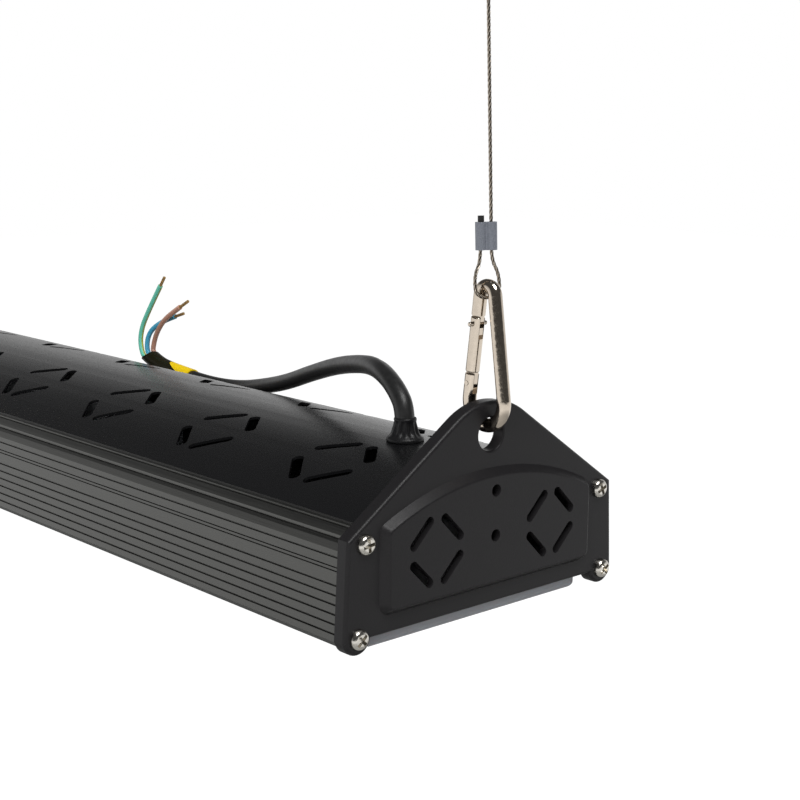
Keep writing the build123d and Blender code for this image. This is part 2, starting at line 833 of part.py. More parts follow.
def leg_plane(distance):
    return Plane(origin=leg_low + leg_dir * distance, x_dir=(0, 1, 0), z_dir=leg_dir)


def side_plane(point):
    return Plane(origin=point, x_dir=-gate_normal, z_dir=(0, -1, 0))


body_foot = leg_low + leg_dir * fork_rise
nose_foot = leg_low + leg_dir * nose_end
with BuildPart() as front_carabiner:
    with BuildLine() as wire_line:
        lower_leg = Line(body_foot, leg_low)
        lower_bend = ThreePointArc(leg_low, bow_centre - rise_dir * bow_radius, spine_low)
        Line(spine_low, spine_high)
        upper_bend = ThreePointArc(spine_high, crown_centre + rise_dir * crown_radius, leg_high)
        nose_leg = Line(leg_high, nose_foot)
    with BuildSketch(Plane(origin=body_foot, x_dir=(0, 1, 0), z_dir=-leg_dir)):
        Circle(wire_dia / 2)
    sweep()
    # fork for the gate
    with BuildSketch(leg_plane(fork_floor)):
        Rectangle(fork_width, 2 * wire_dia)
    extrude(amount=fork_rise - fork_floor + 1, mode=Mode.SUBTRACT)
    with BuildSketch(side_plane(hinge_point)):
        Circle(hinge_pin_radius + pin_gap)
    extrude(amount=wire_dia, both=True, mode=Mode.SUBTRACT)
    # flat tongue under the nose with its latch notch
    with BuildSketch(leg_plane(tongue_end)):
        Rectangle(tongue_thick, tongue_width)
    extrude(amount=nose_end - tongue_end + 0.5)
    with BuildSketch(side_plane(latch_point)):
        Circle(latch_radius + latch_gap)
        with Locations((tongue_width / 2, -0.1)):
            Rectangle(tongue_width, 2 * (latch_radius + latch_gap) + 0.2)
    extrude(amount=wire_dia, both=True, mode=Mode.SUBTRACT)
front_carabiner.part.label = "front_carabiner"

# carabiner gate
with BuildPart() as front_gate:
    with BuildSketch(leg_plane(gate_foot)):
        Circle(gate_dia / 2)
    extrude(amount=gate_end - gate_foot)
    fillet(front_gate.edges().filter_by(GeomType.CIRCLE), radius=0.5)
    # tongue that turns in the fork of the body
    with BuildSketch(side_plane(hinge_point)):
        Circle(tongue_width / 2)
        with Locations((0, (gate_foot - hinge_rise) / 2 + 0.5)):
            Rectangle(tongue_width, gate_foot - hinge_rise + 1.0)
    extrude(amount=tongue_thick / 2, both=True)
    with BuildSketch(side_plane(hinge_point)):
        Circle(hinge_pin_radius + pin_gap)
    extrude(amount=wire_dia, both=True, mode=Mode.SUBTRACT)
    # fork that closes over the nose tongue
    with BuildSketch(leg_plane(gate_fork)):
        Rectangle(fork_width, 2 * wire_dia)
    extrude(amount=gate_end - gate_fork + 1, mode=Mode.SUBTRACT)
    with BuildSketch(side_plane(latch_point)):
        Circle(latch_radius + pin_gap)
    extrude(amount=wire_dia, both=True, mode=Mode.SUBTRACT)
front_gate.part.label = "front_gate"

with BuildPart() as front_gate_rivet:
    with BuildSketch(side_plane(hinge_point)):
        Circle(hinge_pin_radius)
    extrude(amount=wire_dia / 2 + 0.1, both=True)
front_gate_rivet.part.label = "front_gate_rivet"

with BuildPart() as front_latch_pin:
    with BuildSketch(side_plane(latch_point)):
        Circle(latch_radius)
    extrude(amount=latch_pin_length / 2, both=True)
    fillet(front_latch_pin.edges().filter_by(GeomType.CIRCLE), radius=0.4)
front_latch_pin.part.label = "front_latch_pin"


# wire rope
lean_run = tan(radians(rope_lean))
axis_dir = Vector(-lean_run, 0, 1).normalized()


def level_with(direction):
    return (direction - axis_dir * direction.dot(axis_dir)).normalized()


face_dir = level_with(Vector(sin(radians(ferrule_turn)), cos(radians(ferrule_turn)), 0))
loop_dir = level_with(Vector(sin(radians(loop_turn)), cos(radians(loop_turn)), 0))


def rope_point(height, across=0.0, direction=face_dir):
    drift = lean_run * (height - loop_bottom) + (rope_shift if height > loop_bottom else 0.0)
    base = Vector(end_x + crown_x - drift, 0, up(height))
    return base + direction * across


def ferrule_plane(height):
    return Plane(origin=rope_point(height), x_dir=face_dir, z_dir=axis_dir)


half_pitch = ferrule_spacing / 2
loop_corner = 0.96 * loop_half
top_bottom = hook_drop - eye_height - ferrule_length
eye_line = hook_drop + rope_dia / 2
rope_points = [
    rope_point(ferrule_bottom + ferrule_length + rope_tail, -half_pitch),
    rope_point(ferrule_bottom - leg_straight, -half_pitch),
    rope_point(ferrule_bottom - leg_spread, -loop_half, loop_dir),
    rope_point(loop_bottom, -loop_corner, loop_dir),
    rope_point(loop_bottom, loop_corner, loop_dir),
    rope_point(ferrule_bottom - leg_spread, loop_half, loop_dir),
    rope_point(ferrule_bottom - leg_straight, half_pitch),
    rope_point(top_bottom + ferrule_length + leg_straight, half_pitch),
    rope_point(top_bottom + ferrule_length + leg_spread, loop_half),
    rope_point(eye_line, loop_corner),
    rope_point(eye_line, -loop_corner),
    rope_point(top_bottom + ferrule_length + leg_spread, -loop_half),
    rope_point(top_bottom + ferrule_length + leg_straight, -half_pitch),
    rope_point(top_bottom - rope_tail, -half_pitch),
]
rope_points = [tuple(p) for p in rope_points]
rope_radii = arc_radii(rope_points)
with BuildPart() as front_rope:
    with BuildLine() as rope_line:
        FilletPolyline(*rope_points, radius=rope_radii)
    with BuildSketch(Plane(origin=rope_points[0], z_dir=-axis_dir)):
        Circle(rope_dia / 2)
    sweep()
front_rope.part.label = "front_rope"
report("front_rope", rope_radii, rope_dia, rope_line, front_rope.part)

# crimped double barrel ferrules, one at each end of the rope
with BuildPart() as front_ferrules:
    for foot_height in (ferrule_bottom, top_bottom):
        with BuildSketch(ferrule_plane(foot_height)):
            with Locations((-half_pitch, 0), (half_pitch, 0)):
                Circle(ferrule_barrel)
            Rectangle(ferrule_spacing, ferrule_waist)
        extrude(amount=ferrule_length)
        with BuildSketch(ferrule_plane(foot_height)):
            with Locations((-half_pitch, 0), (half_pitch, 0)):
                Circle(rope_dia / 2 + thread_gap)
        extrude(amount=ferrule_length, mode=Mode.SUBTRACT)
front_ferrules.part.label = "front_ferrules"

# shrunk sleeves on the two cut ends of the rope
with BuildPart() as front_rope_sleeves:
    with BuildSketch(ferrule_plane(ferrule_bottom + ferrule_length + 0.1)):
        with Locations((-half_pitch, 0)):
            Circle(rope_dia / 2 + thread_gap + sleeve_wall)
    extrude(amount=rope_tail + 0.5)
    with BuildSketch(ferrule_plane(ferrule_bottom + ferrule_length)):
        with Locations((-half_pitch, 0)):
            Circle(rope_dia / 2 + thread_gap)
    extrude(amount=rope_tail + thread_gap, mode=Mode.SUBTRACT)
    with BuildSketch(ferrule_plane(top_bottom - 0.1)):
        with Locations((-half_pitch, 0)):
            Circle(rope_dia / 2 + thread_gap + sleeve_wall)
    extrude(amount=-rope_tail - 0.5)
    with BuildSketch(ferrule_plane(top_bottom)):
        with Locations((-half_pitch, 0)):
            Circle(rope_dia / 2 + thread_gap)
    extrude(amount=-rope_tail - thread_gap, mode=Mode.SUBTRACT)
front_rope_sleeves.part.label = "front_rope_sleeves"

# rear suspension
with BuildPart() as rear_carabiner:
    mirror(front_carabiner.part, about=Plane.YZ)
rear_carabiner.part.label = "rear_carabiner"

with BuildPart() as rear_gate:
    mirror(front_gate.part, about=Plane.YZ)
rear_gate.part.label = "rear_gate"

with BuildPart() as rear_gate_rivet:
    mirror(front_gate_rivet.part, about=Plane.YZ)
rear_gate_rivet.part.label = "rear_gate_rivet"

with BuildPart() as rear_latch_pin:
    mirror(front_latch_pin.part, about=Plane.YZ)
rear_latch_pin.part.label = "rear_latch_pin"

with BuildPart() as rear_rope:
    mirror(front_rope.part, about=Plane.YZ)
rear_rope.part.label = "rear_rope"

with BuildPart() as rear_ferrules:
    mirror(front_ferrules.part, about=Plane.YZ)
rear_ferrules.part.label = "rear_ferrules"

with BuildPart() as rear_rope_sleeves:
    mirror(front_rope_sleeves.part, about=Plane.YZ)
rear_rope_sleeves.part.label = "rear_rope_sleeves"


print("hinge of the front gate", [round(c, 3) for c in hinge_point])
print("bar of the front carabiner", [round(c, 3) for c in bow_centre - rise_dir * bow_radius])

export_step(front_end_plate.part, "parts/front_end_plate.step")
export_step(rear_end_plate.part, "parts/rear_end_plate.step")
export_step(front_end_screws.part, "parts/front_end_screws.step")
export_step(rear_end_screws.part, "parts/rear_end_screws.step")
export_step(right_side_rail.part, "parts/right_side_rail.step")
export_step(left_side_rail.part, "parts/left_side_rail.step")
export_step(roof_cover.part, "parts/roof_cover.step")
export_step(lens_cover.part, "parts/lens_cover.step")
export_step(lens_gasket.part, "parts/lens_gasket.step")
export_step(led_tray.part, "parts/led_tray.step")
export_step(led_boards.part, "parts/led_boards.step")
export_step(led_chips.part, "parts/led_chips.step")
export_step(driver_case.part, "parts/driver_case.step")
export_step(driver_screws.part, "parts/driver_screws.step")
export_step(terminal_block.part, "parts/terminal_block.step")
export_step(strain_relief.part, "parts/strain_relief.step")
export_step(relief_nut_ring.part, "parts/relief_nut.step")
export_step(mains_cable.part, "parts/mains_cable.step")
export_step(cable_label.part, "parts/cable_label.step")
export_step(earth_core.part, "parts/earth_core.step")
export_step(neutral_core.part, "parts/neutral_core.step")
export_step(live_core.part, "parts/live_core.step")
export_step(copper_ends.part, "parts/copper_ends.step")
export_step(front_carabiner.part, "parts/front_carabiner.step")
export_step(front_gate.part, "parts/front_gate.step")
export_step(front_gate_rivet.part, "parts/front_gate_rivet.step")
export_step(front_latch_pin.part, "parts/front_latch_pin.step")
export_step(front_rope.part, "parts/front_rope.step")
export_step(front_ferrules.part, "parts/front_ferrules.step")
export_step(front_rope_sleeves.part, "parts/front_rope_sleeves.step")
export_step(rear_carabiner.part, "parts/rear_carabiner.step")
export_step(rear_gate.part, "parts/rear_gate.step")
export_step(rear_gate_rivet.part, "parts/rear_gate_rivet.step")
export_step(rear_latch_pin.part, "parts/rear_latch_pin.step")
export_step(rear_rope.part, "parts/rear_rope.step")
export_step(rear_ferrules.part, "parts/rear_ferrules.step")
export_step(rear_rope_sleeves.part, "parts/rear_rope_sleeves.step")
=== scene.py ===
import math

import bpy
from bpy.props import FloatProperty, FloatVectorProperty, IntProperty, PointerProperty
from mathutils import Matrix, Vector


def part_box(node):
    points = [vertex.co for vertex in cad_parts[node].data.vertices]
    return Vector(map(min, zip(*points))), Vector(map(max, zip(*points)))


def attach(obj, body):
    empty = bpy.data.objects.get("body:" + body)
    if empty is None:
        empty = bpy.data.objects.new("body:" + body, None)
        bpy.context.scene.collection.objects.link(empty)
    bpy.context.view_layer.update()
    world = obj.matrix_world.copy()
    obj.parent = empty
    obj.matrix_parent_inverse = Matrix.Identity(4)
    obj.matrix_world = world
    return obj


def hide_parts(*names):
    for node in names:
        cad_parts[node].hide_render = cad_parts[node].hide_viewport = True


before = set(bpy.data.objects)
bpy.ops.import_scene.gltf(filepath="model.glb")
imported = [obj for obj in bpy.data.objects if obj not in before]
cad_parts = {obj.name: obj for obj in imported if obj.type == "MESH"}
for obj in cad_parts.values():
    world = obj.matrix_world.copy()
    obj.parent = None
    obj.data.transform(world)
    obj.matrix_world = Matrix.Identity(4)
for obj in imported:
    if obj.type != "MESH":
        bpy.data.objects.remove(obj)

bl_info = {
    "name": "High Bay Light",
    "version": (1, 0, 0),
    "blender": (4, 5, 0),
    "location": "View3D > Sidebar > High Bay",
    "description": "Dresses a hanging high bay light with its finishes, cable and wire ropes",
    "category": "Object",
}

END_X = 0.296  # outer face of the front end plate
DROP = 0.284  # from the ceiling eyes down to the foot of the end plates
NOISE_LOW, NOISE_HIGH = 0.3, 0.7  # between them lies nearly all of a grain's noise
ROUGH_SWING = 0.13  # share by which a grain's roughness rises and falls
RING_STEP = 0.0009  # between the rings of a tube, along its line
SHARP_EDGE = math.radians(40)  # a tube's edges from this angle on stay sharp


# colours and nodes
def linear(shade):
    """An sRGB hex colour as linear red, green, blue and alpha."""
    parts = [int(shade[i : i + 2], 16) / 255 for i in (1, 3, 5)]
    return tuple([c / 12.92 if c <= 0.04045 else ((c + 0.055) / 1.055) ** 2.4 for c in parts] + [1.0])


def tinted(colour, gain):
    """A linear colour made lighter or darker."""
    return tuple([min(1.0, c * gain) for c in colour[:3]] + [1.0])


def add(tree, kind, settings=(), links=()):
    """Add a node, with its settings and input values by name and its links by input."""
    made = tree.nodes.new(kind)
    for name, value in dict(settings).items():
        if name == "stops":
            ramp = made.color_ramp
            ramp.elements[0].position, ramp.elements[0].color = value[0]
            ramp.elements[1].position, ramp.elements[1].color = value[-1]
            for place, shade in value[1:-1]:
                ramp.elements.new(place).color = shade
        elif isinstance(name, str) and hasattr(made, name):
            setattr(made, name, value)
        else:
            made.inputs[name].default_value = value
    for name, source in dict(links).items():
        tree.links.new(source, made.inputs[name])
    return made


def new_material(name, settings):
    """A material with one principled shader, and the object's own coordinates in metres."""
    material = bpy.data.materials.new(name)
    material.use_nodes = True
    tree = material.node_tree
    tree.nodes.clear()
    shader = add(tree, "ShaderNodeBsdfPrincipled", settings)
    add(tree, "ShaderNodeOutputMaterial", (), {"Surface": shader.outputs[0]})
    place = add(tree, "ShaderNodeTexCoord")
    return material, tree, shader, place.outputs["Object"]


def grained(name, colour, rough, grain, depth, spread=0.12, stretch=(1, 1, 1), settings=()):
    """A fine grain: colour, roughness and bump follow one noise of that grain size in metres."""
    material, tree, shader, place = new_material(name, {"Roughness": rough, **dict(settings)})
    scale = tuple(1 / (grain * s) for s in stretch)
    mapped = add(tree, "ShaderNodeMapping", {"Scale": scale}, {"Vector": place})
    noise = add(tree, "ShaderNodeTexNoise", {"Scale": 1.0, "Detail": 3.0}, {"Vector": mapped.outputs[0]})
    shades = add(
        tree,
        "ShaderNodeValToRGB",
        {"stops": [(NOISE_LOW, tinted(colour, 1 - spread)), (NOISE_HIGH, tinted(colour, 1 + spread))]},
        {"Fac": noise.outputs["Fac"]},
    )
    swing = {"From Min": NOISE_LOW, "From Max": NOISE_HIGH}
    swing.update({"To Min": rough * (1 - ROUGH_SWING), "To Max": rough * (1 + ROUGH_SWING)})
    gloss = add(tree, "ShaderNodeMapRange", swing, {"Value": noise.outputs["Fac"]})
    grains = {"Strength": 1.0, "Distance": depth}
    bump = add(tree, "ShaderNodeBump", grains, {"Height": noise.outputs["Fac"]})
    tree.links.new(shades.outputs[0], shader.inputs["Base Color"])
    tree.links.new(gloss.outputs[0], shader.inputs["Roughness"])
    tree.links.new(bump.outputs[0], shader.inputs["Normal"])
    return material


def paint(node_names, material):
    """Give a material to the CAD nodes of these names."""
    for name in node_names:
        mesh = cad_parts[name].data
        mesh.materials.clear()
        mesh.materials.append(material)


# shapes
def at_front(points):
    """Points in millimetres from the foot of the front end plate, in metres in the row's frame."""
    return [Vector((END_X + x / 1000, y / 1000, z / 1000 - DROP)) for x, y, z in points]


def add_object(name, data, material=None):
    """An object with this data in the scene."""
    made = bpy.data.objects.new(name, data)
    bpy.context.scene.collection.objects.link(made)
    if material:
        data.materials.append(material)
    return made


def spline_curve(name, points, radius=0.0, material=None):
    """A smooth curve with these control points, round where a radius is given."""
    line = bpy.data.curves.new(name, "CURVE")
    line.dimensions = "3D"
    line.resolution_u = 16
    spline = line.splines.new("NURBS")
    spline.points.add(len(points) - 1)
    for control, point in zip(spline.points, points):
        control.co = (*point, 1.0)
    spline.order_u = 3
    spline.use_endpoint_u = True
    if radius:
        line.bevel_depth = radius
        line.bevel_resolution = 6
        line.use_fill_caps = True
    return add_object(name, line, material)


def centre_line(points):
    """The points of a smooth curve with these control points."""
    bare = spline_curve("centre_line", points)
    mesh = bpy.data.meshes.new_from_object(bare)
    line = [v.co.copy() for v in mesh.vertices]
    curve = bare.data
    bpy.data.objects.remove(bare)
    bpy.data.curves.remove(curve)
    bpy.data.meshes.remove(mesh)
    return line


def length_of(line):
    """The length of a line through these points."""
    return sum((b - a).length for a, b in zip(line, line[1:]))


def mesh_from(name, points, faces, material=None, edges=()):
    """A mesh object of these points, faces and edges."""
    mesh = bpy.data.meshes.new(name)
    mesh.from_pydata(points, list(edges), faces)
    mesh.update()
    return add_object(name, mesh, material)


def at_distance(line, distance):
    """The point of a line at this distance from its start, and the way it runs there."""
    left = distance
    for a, b in zip(line, line[1:]):
        run = (b - a).length
        if left <= run or b is line[-1]:
            way = (b - a).normalized()
            return a + way * left, way
        left -= run


def tube(name, line, outer, inner, material, start_cut=(0.0, 0.0), end_cut=(0.0, 0.0), sides=32):
    """A mesh tube along a line, with a map of its own: round it, and along it in metres.

    A cut holds how far the tube starts or ends past the line's end, below and above.
    """
    whole = length_of(line)
    rings = max(12, round(whole / RING_STEP))
    walls = (outer, inner) if inner else (outer,)
    points, places, faces = [], [], []
    for k in range(rings + 1):
        part = k / rings
        for reach in walls:
            for i in range(sides):
                angle = 2 * math.pi * i / sides
                rise = math.sin(angle) / 2 + 0.5
                first = start_cut[0] + (start_cut[1] - start_cut[0]) * rise
                last = whole + end_cut[0] + (end_cut[1] - end_cut[0]) * rise
                gone = first + (last - first) * part
                centre, ahead = at_distance(line, gone)
                upward = Vector((0, 1, 0)).cross(ahead).normalized()
                level = upward.cross(ahead)
                points.append(centre + (upward * math.sin(angle) + level * math.cos(angle)) * reach)
                places.append((i / sides, gone))
    ring = sides * len(walls)
    for i in range(sides):
        j = (i + 1) % sides
        for k in range(rings):
            a, b = k * ring, (k + 1) * ring
            faces.append((a + i, a + j, b + j, b + i))
            if inner:
                faces.append((a + sides + j, a + sides + i, b + sides + i, b + sides + j))
        if inner:
            a = rings * ring
            faces.append((i, sides + i, sides + j, j))
            faces.append((a + j, a + sides + j, a + sides + i, a + i))
    if not inner:
        faces.append(tuple(reversed(range(sides))))
        faces.append(tuple(rings * ring + i for i in range(sides)))
    made = mesh_from(name, points, faces, material)
    made.data.shade_smooth()
    made.data.set_sharp_from_angle(angle=SHARP_EDGE)
    layer = made.data.uv_layers.new(name="along")
    for face in made.data.polygons:
        turned = [places[made.data.loops[i].vertex_index] for i in face.loop_indices]
        wide = max(u for u, _ in turned) - min(u for u, _ in turned) > 0.5
        for i, (u, v) in zip(face.loop_indices, turned):
            layer.data[i].uv = (u + 1.0 if wide and u < 0.5 else u, v)
    return made


def laid_strands_tree():
    """Strands laid round a centre strand along a path."""
    tree = bpy.data.node_groups.new("Laid strands", "GeometryNodeTree")
    sockets = tree.interface
    sockets.new_socket("Path", in_out="INPUT", socket_type="NodeSocketGeometry")
    for name, kind, start in (
        ("Strand Radius", "Float", 0.0003),
        ("Lay Radius", "Float", 0.0005),
        ("Lay Length", "Float", 0.01),
        ("Step", "Float", 0.001),
        ("Outer Strands", "Int", 6),
        ("Sides", "Int", 8),
    ):
        sockets.new_socket(name, in_out="INPUT", socket_type="NodeSocket" + kind).default_value = start
    sockets.new_socket("Finish", in_out="INPUT", socket_type="NodeSocketMaterial")
    sockets.new_socket("Strands", in_out="OUTPUT", socket_type="NodeSocketGeometry")
    given = add(tree, "NodeGroupInput").outputs
    line = add(tree, "GeometryNodeMeshToCurve", (), {"Mesh": given["Path"]})
    spaced = {"Curve": line.outputs[0], "Length": given["Step"]}
    even = add(tree, "GeometryNodeResampleCurve", {"mode": "LENGTH"}, spaced)
    gone = add(tree, "GeometryNodeSplineParameter").outputs["Length"]
    turns = add(tree, "ShaderNodeMath", {"operation": "DIVIDE"}, {0: gone, 1: given["Lay Length"]})
    angle = add(tree, "ShaderNodeMath", {"operation": "MULTIPLY", 1: 2 * math.pi}, {0: turns.outputs[0]})
    bend = {"Curve": even.outputs[0], "Tilt": angle.outputs[0]}
    twisted = add(tree, "GeometryNodeSetCurveTilt", (), bend)
    circle = "GeometryNodeCurvePrimitiveCircle"
    ring = add(tree, circle, (), {"Resolution": given["Outer Strands"], "Radius": given["Lay Radius"]})
    one = add(tree, circle, (), {"Resolution": given["Sides"], "Radius": given["Strand Radius"]})
    seats = add(tree, "GeometryNodeCurveToPoints", {"mode": "EVALUATED"}, {"Curve": ring.outputs[0]})
    seated = {"Points": seats.outputs[0], "Instance": one.outputs[0]}
    outer = add(tree, "GeometryNodeInstanceOnPoints", (), seated)
    section = add(tree, "GeometryNodeJoinGeometry")
    tree.links.new(outer.outputs[0], section.inputs[0])
    tree.links.new(one.outputs[0], section.inputs[0])
    whole = add(tree, "GeometryNodeRealizeInstances", (), {"Geometry": section.outputs[0]})
    swept = {"Curve": twisted.outputs[0], "Profile Curve": whole.outputs[0]}
    tubes = add(tree, "GeometryNodeCurveToMesh", {"Fill Caps": True}, swept)
    real = add(tree, "GeometryNodeRealizeInstances", (), {"Geometry": tubes.outputs[0]})
    smooth = add(tree, "GeometryNodeSetShadeSmooth", (), {"Geometry": real.outputs[0]})
    finish = {"Geometry": smooth.outputs[0], "Material": given["Finish"]}
    coated = add(tree, "GeometryNodeSetMaterial", (), finish)
    add(tree, "NodeGroupOutput", (), {"Strands": coated.outputs[0]})
    return tree


def lay_strands(name, line, material, **sizes):
    """A plain mesh of laid strands that follows the line."""
    path = mesh_from(name + "_path", line, [], edges=[(i, i + 1) for i in range(len(line) - 1)])
    tree = bpy.data.node_groups.get("Laid strands") or laid_strands_tree()
    modifier = path.modifiers.new("strands", "NODES")
    modifier.node_group = tree
    sockets = {s.name: s.identifier for s in tree.interface.items_tree if s.in_out == "INPUT"}
    for key, value in sizes.items():
        modifier[sockets[key.replace("_", " ").title()]] = value
    modifier[sockets["Finish"]] = material
    bpy.context.view_layer.update()
    mesh = bpy.data.meshes.new_from_object(path.evaluated_get(bpy.context.evaluated_depsgraph_get()))
    mesh.name = name
    old = path.data
    bpy.data.objects.remove(path)
    bpy.data.meshes.remove(old)
    return add_object(name, mesh)


# routes, as control points: the cable from its strain relief to its cut end
CABLE = at_front(
    [
        (-50.2, 0.0, 61.5),
        (-50.2, 0.0, 71.6),
        (-57.6, 2.0, 78.6),
        (-69.5, 6.0, 83.2),
        (-85.0, 13.0, 84.0),
        (-103.0, 21.5, 81.8),
        (-136.0, 36.0, 75.4),
        (-172.0, 49.5, 65.6),
        (-208.0, 61.0, 54.4),
        (-240.0, 70.6, 46.6),
        (-270.0, 76.0, 40.6),
        (-302.0, 77.9, 38.4),
        (-335.8, 79.0, 40.2),
        (-350.7, 79.3, 41.5),
        (-359.5, 79.5, 43.4),
        (-365.5, 79.6, 45.8),
    ]
)
CABLE_END = CABLE[-1]
END_DIR = (CABLE[-1] - CABLE[-2]).normalized()
SLOPE_DIR = Vector((0, 1, 0)).cross(END_DIR)
ROW_DIR = (SLOPE_DIR * 0.53 + END_DIR.cross(SLOPE_DIR) * 0.85).normalized()


def core_route(offset, lead, points):
    """Control points of a core that leaves the cable's end this far along the row of cores."""
    start = CABLE_END + ROW_DIR * offset
    return [start, start + END_DIR * lead] + at_front(points)


CORES = {
    "earth": core_route(
        -0.00305,
        0.0048,
        [
            (-373.9, 77.6, 51.4),
            (-374.4, 77.8, 57.5),
            (-371.9, 77.9, 64.5),
            (-366.6, 78.1, 72.2),
            (-360.2, 78.5, 80.9),
            (-352.9, 78.8, 90.2),
        ],
    ),
    "neutral": core_route(
        0.0,
        0.0038,
        [
            (-370.6, 79.7, 51.4),
            (-370.0, 80.1, 57.0),
            (-366.6, 80.8, 62.3),
            (-358.0, 81.3, 67.2),
            (-348.6, 81.8, 70.9),
            (-342.8, 82.0, 72.7),
        ],
    ),
    "live": core_route(
        0.00305,
        0.0034,
        [
            (-367.2, 82.3, 52.6),
            (-364.6, 81.9, 57.6),
            (-359.2, 80.4, 62.6),
            (-350.8, 78.5, 68.9),
            (-341.2, 77.0, 74.2),
            (-329.0, 76.3, 80.1),
        ],
    ),
}
BARE = {"earth": 0.0070, "neutral": 0.0090, "live": 0.0102}  # copper past each core's insulation
COPPER_HIDDEN = 0.001  # of the copper, inside the insulation
COPPER_RUNS = 16

ROPE_LEAN = math.radians(2.4)
AXIS = Vector((-math.tan(ROPE_LEAN), 0, 1)).normalized()
FERRULE_TURN, LOOP_TURN = 42, 20  # degrees from the light's side
LOOP_FOOT, EYE_TOP = 122.9, 284.75  # heights of the rope's two turns, in millimetres
LEG, LOOP, TURN = 1.95, 5.3, 5.088  # half the rope's spread in a ferrule, in a loop and at its turn
FOOT_X = -0.0033  # of the rope's foot from the front end plate's face
LEG_SHIFT = 0.0005  # by which the legs stand further in than the foot
STRAND_SHARE, LAY_SHARE = 0.207, 0.293  # radius of one of four strands, and of their lay, to the rope's width


def across(turn):
    """A direction level with the rope's axis, at this angle from the light's side."""
    way = Vector((math.sin(math.radians(turn)), math.cos(math.radians(turn)), 0))
    return (way - AXIS * way.dot(AXIS)).normalized()


def rope_route(side):
    """Control points of one rope, eye to eye: side is 1 at the front and -1 at the rear."""
    face, loop = across(FERRULE_TURN), across(LOOP_TURN)
    steps = [
        (153.8, -LEG, face),
        (137.4, -LEG, face),
        (131.6, -LOOP, loop),
        (LOOP_FOOT, -TURN, loop),
        (LOOP_FOOT, TURN, loop),
        (131.6, LOOP, loop),
        (137.4, LEG, face),
        (146.4, LEG, face),
        (252.8, LEG, face),
        (261.8, LEG, face),
        (267.6, LOOP, face),
        (EYE_TOP, TURN, face),
        (EYE_TOP, -TURN, face),
        (267.6, -LOOP, face),
        (261.8, -LEG, face),
        (245.4, -LEG, face),
    ]
    route = []
    for height, offset, way in steps:
        drift = FOOT_X - math.tan(ROPE_LEAN) * (height - LOOP_FOOT) / 1000
        if height > LOOP_FOOT:
            drift -= LEG_SHIFT
        point = Vector((END_X + drift, 0, height / 1000 - DROP)) + way * (offset / 1000)
        route.append(Vector((side * point.x, point.y, point.z)))
    return route


WRAP_BACK = 0.016  # from the cable's twelfth control point to the wrap
WRAP_GAP, WRAP_OUTSIDE = 0.00005, 0.0007  # of the wrap's faces from the cable's skin
WRAP_START_CUT, WRAP_END_CUT = (0.0034, 0.0034), (0.0062, -0.0022)
WRAP_EDGE = 0.0062  # along the wrap to where it turns black, at the cable's side
WRAP_SLANT = 0.0205  # by which that edge lies further along on top than at the side
WRAP_SPAN = 0.04  # length of the wrap that its colours are spread over

RELIEF_RISE = 0.0098  # of the strain relief over the roof
FLUTE_STEPS, FLUTE_SHARPNESS = 8, 1.5
RELIEF_EDGE = math.radians(50)  # the relief's edges from this angle on stay sharp


# properties
def colour(label, words, shade):
    """A colour property whose default is this sRGB hex colour."""
    return FloatVectorProperty(
        name=label, description=words, subtype="COLOR", size=4, default=linear(shade), min=0, max=1
    )


def span(label, words, start, low, high):
    """A length property in metres."""
    return FloatProperty(name=label, description=words, default=start, unit="LENGTH", min=low, max=high)


class HighBayColours(bpy.types.PropertyGroup):
    """The colours that a user can change"""

    plate: colour("End Plates", "Paint of the two end plates", "#1b1a1b")
    rail: colour("Side Rails", "Finish of the ribbed side rails", "#5e5e5c")
    roof: colour("Roof", "Paint of the vented roof", "#101011")
    lens: colour("Lens", "Frosted plastic of the lens", "#9a9ba0")
    jacket: colour("Cable Jacket", "Rubber of the mains cable", "#1b1b1b")
    nickel: colour("Nickel", "Plating of the carabiners", "#cdc1b2")
    rope: colour("Wire Rope", "Wires of the ropes", "#b3a99c")
    earth: colour("Earth Core", "Green of the earth core", "#63b9a2")
    neutral: colour("Neutral Core", "Blue of the neutral core", "#4497b6")
    live: colour("Live Core", "Brown of the live core", "#b58875")


class HighBaySizes(bpy.types.PropertyGroup):
    """The sizes that a user can change"""

    cable: span("Cable Diameter", "Diameter of the mains cable", 0.0084, 0.004, 0.02)
    core: span("Core Diameter", "Diameter of one insulated core", 0.003, 0.001, 0.006)
    copper: span("Copper Diameter", "Diameter of the bare strands together", 0.0019, 0.0005, 0.004)
    rope: span("Rope Diameter", "Diameter of a wire rope", 0.0015, 0.001, 0.004)
    lay: span("Lay Length", "Length along the rope of one turn of a strand", 0.009, 0.003, 0.03)
    flutes: IntProperty(
        name="Flutes", description="Flutes round the strain relief",
        default=10, min=4, max=24,
    )


class Dressing:
    """What the operators share."""

    bl_options = {"REGISTER"}

    @staticmethod
    def look(context):
        """The colours and the sizes that are set."""
        return context.scene.high_bay_colours, context.scene.high_bay_sizes


# operators
class HIGHBAY_OT_end_plates(Dressing, bpy.types.Operator):
    """Coat the two end plates"""

    bl_idname = "high_bay.end_plates"
    bl_label = "End Plates"

    def execute(self, context):
        colours, _ = self.look(context)
        # polyester powder coat on a die casting: matte, with a fine orange peel of about 0.7 mm
        shade, weak = tuple(colours.plate), {"Specular IOR Level": 0.2}
        coat = grained("matte_powder_coat_on_casting", shade, 0.38, 0.0007, 0.00004, 0.1, settings=weak)
        paint(["front_end_plate", "rear_end_plate"], coat)
        return {"FINISHED"}


